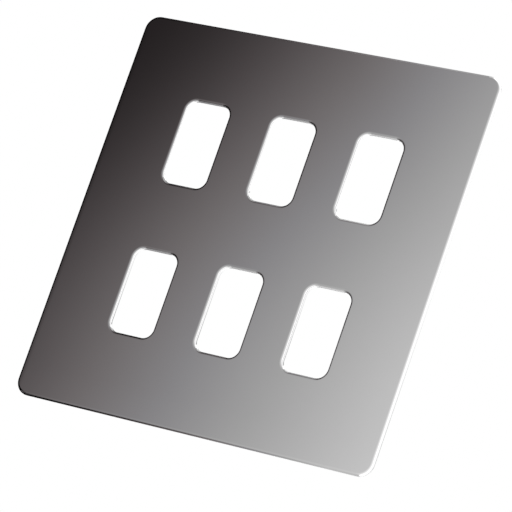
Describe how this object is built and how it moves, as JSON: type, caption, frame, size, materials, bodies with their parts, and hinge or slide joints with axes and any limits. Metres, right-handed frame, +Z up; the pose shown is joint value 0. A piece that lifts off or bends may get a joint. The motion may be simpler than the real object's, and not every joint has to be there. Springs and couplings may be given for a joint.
{
  "type": "grid switch plate",
  "caption": "Square screwless cover plate for a grid switch, mirror-polished dark metal with rows of rounded module windows and a moulded clip frame behind.",
  "frame": {"origin": "middle of the wall plane, on which the rear rim of the clip frame seats", "axes": "+X to the right seen from the front, +Y into the wall and +Z up; the polished face looks along -Y"},
  "size_m": [0.146, 0.007, 0.146],
  "materials": {
    "polished_metal": "black nickel plating, polished to a mirror",
    "clip_moulding": "fine spark-eroded moulding texture"
  },
  "bodies": {
    "root": {"front_plate": "polished_metal", "clip_frame": "clip_moulding"}
  },
  "joints": []
}
